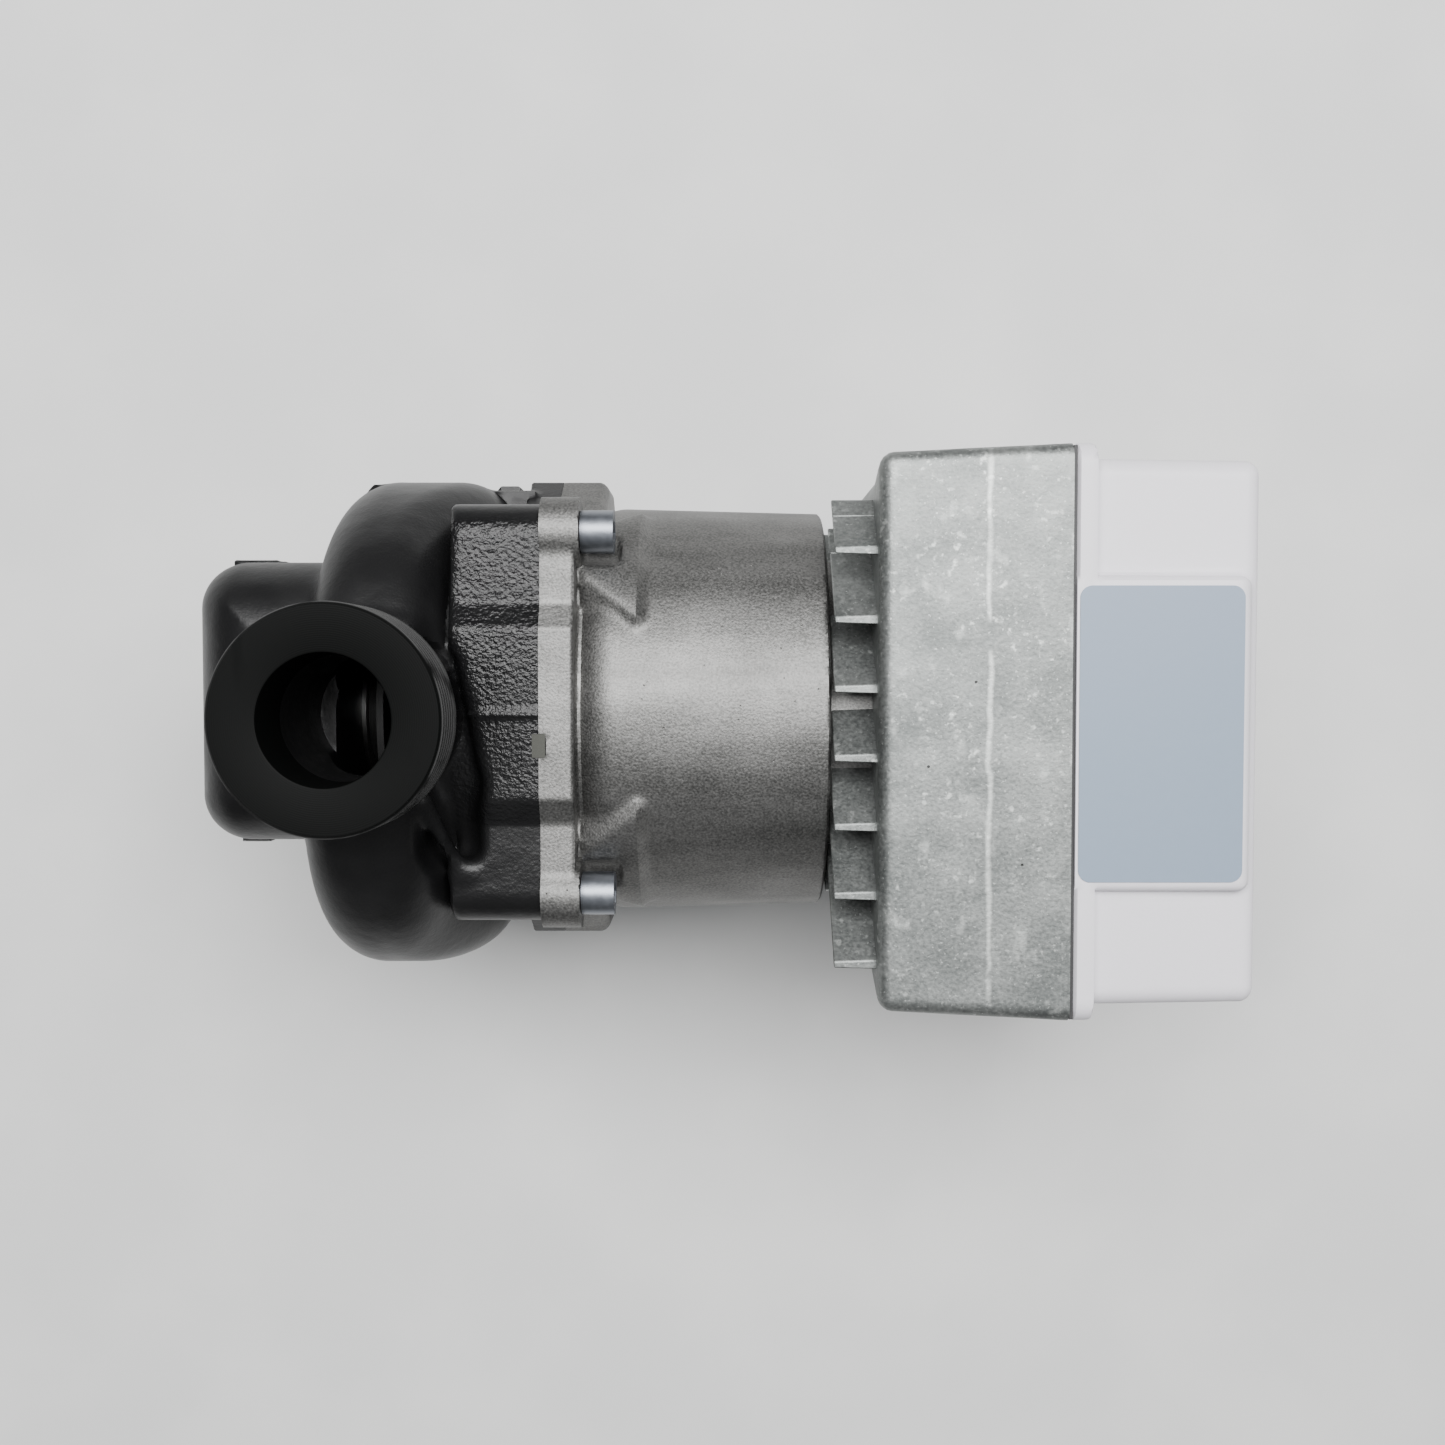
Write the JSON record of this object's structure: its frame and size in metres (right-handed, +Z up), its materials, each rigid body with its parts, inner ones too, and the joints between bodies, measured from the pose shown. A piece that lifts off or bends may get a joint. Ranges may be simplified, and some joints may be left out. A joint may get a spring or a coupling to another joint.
{
  "type": "wet rotor circulating pump",
  "caption": "Inline circulating pump: black iron volute with threaded ports, aluminium motor barrel and a square finned electronics box with a white cover.",
  "frame": {"origin": "centre of the lower port's sealing face, on the pipe axis", "axes": "+Z up the pipe axis to the upper port, +X from the pipe along the motor axis to the electronics box, +Y to the side"},
  "size_m": [0.2492, 0.1288, 0.18],
  "materials": {
    "black_iron": "satin black coating on cast iron",
    "black_rubber": "matt rubber",
    "board_green": "green solder mask",
    "capacitor_black": "shrink sleeve",
    "capacitor_yellow": "boxed film capacitor",
    "carbon": "resin carbon",
    "cast_aluminium": "as die cast, lightly blasted",
    "ceramic": "lapped ceramic",
    "copper_wire": "enamelled wire",
    "ferrite": "ferrite and wire",
    "gland_grey": "moulded polyamide",
    "impeller_plastic": "glass filled plastic",
    "insulator_plastic": "natural polyamide",
    "label_film": "blank blue-grey film",
    "lamination": "stacked sheet",
    "magnet": "ferrite magnet",
    "olive_plastic": "matt moulded",
    "raw_aluminium": "as cast with a mottled skin",
    "stainless": "bright drawn sheet and ground shaft",
    "terminal_grey": "moulded terminal",
    "thermal_film": "soft pad",
    "white_plastic": "satin white moulding",
    "zinc_steel": "bright zinc plate"
  },
  "bodies": {
    "pump_body": {"bearing_plate": "stainless", "blanking_plug": "gland_grey", "board_screws": "zinc_steel", "box_gasket": "black_rubber", "bus_capacitors": "capacitor_black", "cover_label": "label_film", "cover_screws": "zinc_steel", "drain_slot_plug": "olive_plastic", "electronics_cover": "white_plastic", "entry_locknuts": "gland_grey", "front_bearing": "carbon", "front_insulator": "insulator_plastic", "gland_body": "gland_grey", "gland_nut": "gland_grey", "gland_seal": "black_rubber", "heat_sink_housing": "raw_aluminium", "heat_sink_screws": "zinc_steel", "housing_seal": "black_rubber", "line_choke": "ferrite", "main_board": "board_green", "mains_filter_capacitor": "capacitor_yellow", "mains_terminal_block": "terminal_grey", "motor_housing": "cast_aluminium", "motor_screw_washers": "zinc_steel", "motor_screws": "zinc_steel", "neck_ring": "stainless", "power_module": "capacitor_black", "pump_housing": "black_iron", "rear_bearing": "carbon", "rear_insulator": "insulator_plastic", "separation_can": "stainless", "stator_core": "lamination", "stator_windings": "copper_wire", "thermal_pad": "thermal_film", "winding_connector": "insulator_plastic"},
    "rotor": {"rotor_shaft": "stainless", "impeller": "impeller_plastic", "impeller_clip": "stainless", "thrust_ring": "ceramic", "rotor_magnet": "magnet", "magnet_carrier": "impeller_plastic", "rotor_sleeve": "stainless"}
  },
  "joints": [
    {"name": "rotor_spin", "type": "hinge", "parent": "pump_body", "child": "rotor", "pos_m": [0, 0, 0.09], "axis": [1, 0, 0], "continuous": true}
  ]
}
